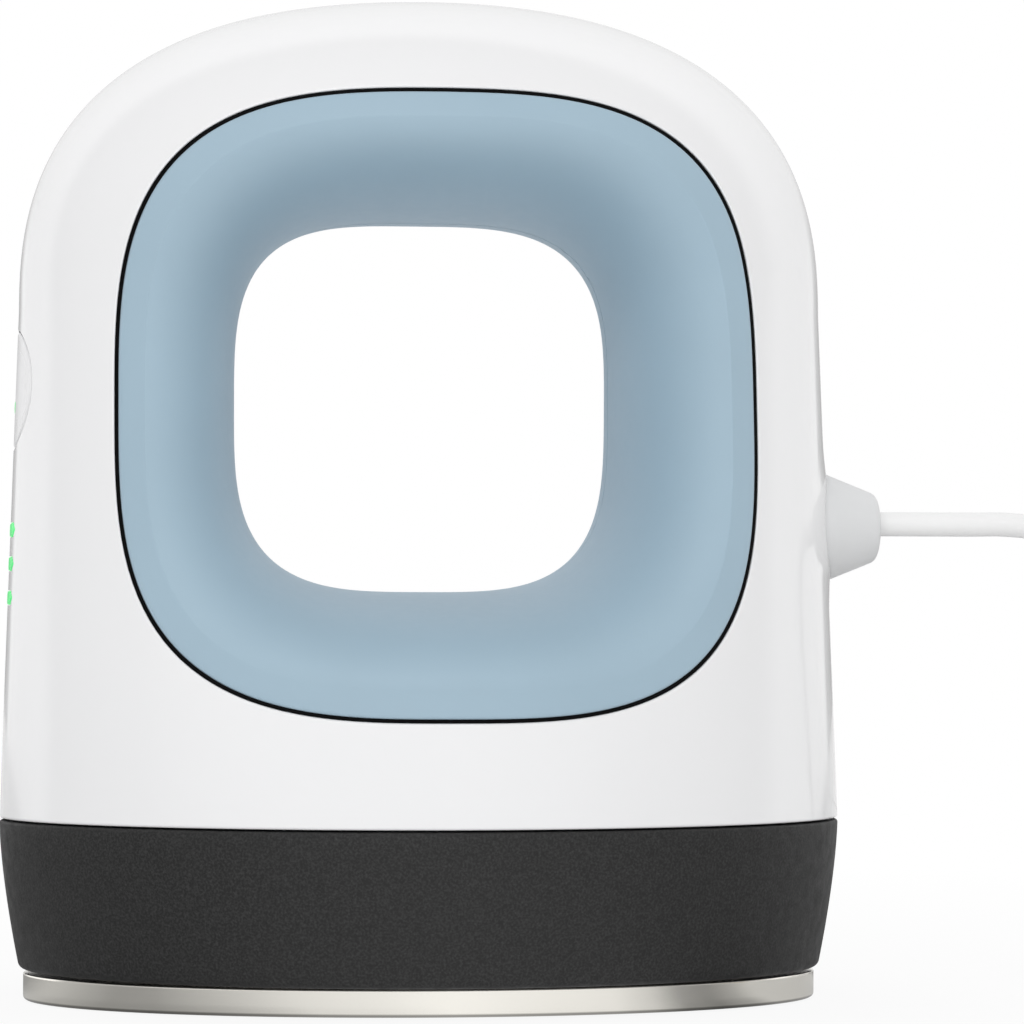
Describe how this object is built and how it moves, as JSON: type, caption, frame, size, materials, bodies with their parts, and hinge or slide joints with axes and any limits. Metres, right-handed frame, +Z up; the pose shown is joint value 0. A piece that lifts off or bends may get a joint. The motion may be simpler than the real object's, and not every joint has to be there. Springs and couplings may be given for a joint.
{
  "type": "mini handheld heat press",
  "caption": "Small upright heat press with a pointed oval hot plate, a finger hole through its shell, a side power button, a row of status lights and a thin mains cord.",
  "frame": {"origin": "on the table under the middle of the hot plate, which rests flat on it", "axes": "+X towards the cord's outlet, +Y to the rear, +Z up"},
  "size_m": [0.1653, 0.0855, 0.1035],
  "materials": {
    "shell_white": "moulded, high gloss",
    "grip_blue": "moulded, soft matte",
    "seal_black": "matte",
    "skirt_charcoal": "heat-resistant plastic, fine speckled texture",
    "plate_metal": "satin, non-stick coated",
    "steel": "zinc plated",
    "sheet_metal": "rolled sheet",
    "heater_mica": "mica board",
    "mat_fibre": "needled glass fibre",
    "spacer_ceramic": "steatite",
    "cutout_black": "phenolic",
    "chassis_plastic": "moulded, natural",
    "board_green": "solder mask",
    "relay_blue": "moulded",
    "coil_yellow": "taped winding",
    "part_black": "moulded",
    "terminal_green": "moulded",
    "fuse_glass": "clear",
    "button_white": "moulded, satin",
    "light_green": "clear, lit",
    "cord_white": "soft PVC",
    "relief_white": "soft PVC",
    "tie_grey": "hook-and-loop strip",
    "blade_brass": "nickel-washed",
    "lead_red": "silicone",
    "lead_black": "PVC",
    "lead_yellow": "PTFE"
  },
  "bodies": {
    "press": {"heat_plate": "plate_metal", "heating_element": "heater_mica", "insulation_mat": "mat_fibre", "clamp_plate": "sheet_metal", "clamp_screws": "steel", "lower_spacers": "spacer_ceramic", "heat_shield": "sheet_metal", "upper_spacers": "spacer_ceramic", "plate_screws": "steel", "thermal_cutout": "cutout_black", "temperature_sensor": "sheet_metal", "base_skirt": "skirt_charcoal", "chassis": "chassis_plastic", "chassis_screws": "steel", "control_board": "board_green", "board_screws": "steel", "relay": "relay_blue", "transformer": "coil_yellow", "capacitor": "part_black", "controller_chip": "part_black", "terminal_block": "terminal_green", "board_fuse": "fuse_glass", "grip_frame": "chassis_plastic", "frame_screws": "steel", "outer_shell": "shell_white", "front_grip": "grip_blue", "rear_grip": "grip_blue", "front_seal": "seal_black", "rear_seal": "seal_black", "switch_board": "board_green", "tact_switch": "part_black", "button_guide": "chassis_plastic", "light_guide": "light_green", "status_leds": "light_green", "strain_relief": "relief_white", "cord_clamp": "chassis_plastic", "cord_clamp_screws": "steel", "inner_cord": "cord_white", "mains_leads": "lead_black", "heater_leads": "lead_red", "sensor_leads": "lead_yellow", "switch_leads": "lead_yellow", "power_cord": "cord_white", "cord_coil": "cord_white", "cord_tie": "tie_grey", "plug_body": "cord_white", "plug_blades": "blade_brass"},
    "button": {"power_button": "button_white", "button_lens": "light_green"},
    "plunger": {"switch_plunger": "chassis_plastic"}
  },
  "joints": [
    {"name": "button_press", "type": "slide", "parent": "press", "child": "button", "axis": [1, 0, 0], "range_m": [0, 0.0005], "stiffness_N_per_m": 1500},
    {"name": "switch_travel", "type": "slide", "parent": "press", "child": "plunger", "axis": [1, 0, 0], "range_m": [0, 0.0005]}
  ],
  "couplings": [
    {"joint": "switch_travel", "follows": "button_press", "ratio": 1}
  ]
}
